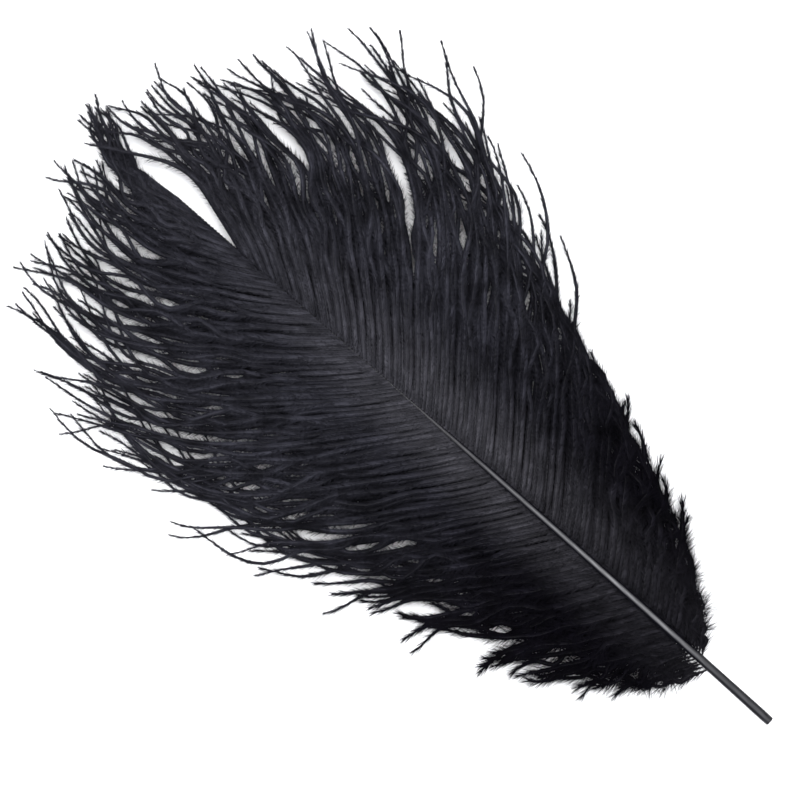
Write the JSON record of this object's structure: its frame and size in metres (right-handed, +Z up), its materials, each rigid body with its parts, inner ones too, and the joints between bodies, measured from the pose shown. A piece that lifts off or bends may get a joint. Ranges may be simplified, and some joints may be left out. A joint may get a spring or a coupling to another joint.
{
  "type": "ostrich feather",
  "caption": "Black ostrich feather with a bare round quill, a thin tapering shaft and a broad rounded vane of loose, wispy barbs on each side, lying flat.",
  "frame": {"origin": "middle of the feather's outline, on the surface it lies on", "axes": "+Y from the quill's cut end to the tip, +X to the feather's right as seen from above, +Z up from the surface"},
  "size_m": [0.1066, 0.2002, 0.0078],
  "materials": {
    "shaft": "black-dyed feather keratin, smooth and softly glossy along the bare quill",
    "barbs": "black-dyed downy barbs, soft and matt with a faint silky gleam along the strands"
  },
  "bodies": {
    "root": {"shaft": "shaft", "left_vane": "barbs", "right_vane": "barbs"}
  },
  "joints": []
}
